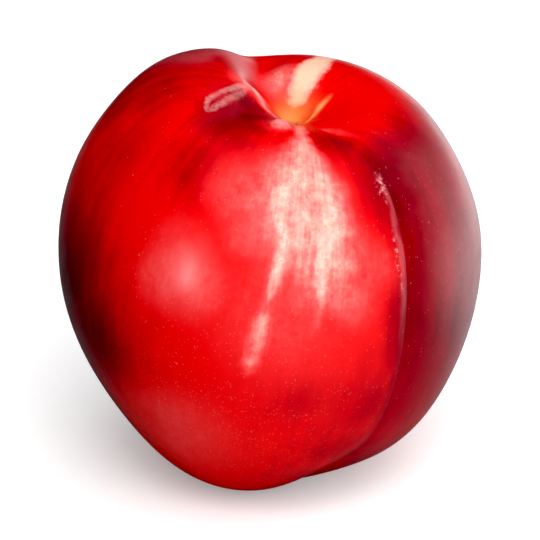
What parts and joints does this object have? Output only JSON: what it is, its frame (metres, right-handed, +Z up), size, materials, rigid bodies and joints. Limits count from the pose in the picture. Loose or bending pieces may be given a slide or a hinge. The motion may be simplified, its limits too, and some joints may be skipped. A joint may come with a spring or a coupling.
{
  "type": "nectarine",
  "caption": "Whole ripe nectarine with two lobes, a suture groove and a deep stem cavity, standing on a small flat spot.",
  "frame": {"origin": "middle of the small flat spot that the nectarine stands on", "axes": "+Z up towards the stem cavity, -Y towards the front, where the suture groove shows to the right, +X to the right"},
  "size_m": [0.0704, 0.0685, 0.0723],
  "materials": {
    "skin": "satin"
  },
  "bodies": {
    "root": {"nectarine": "skin"}
  },
  "joints": []
}
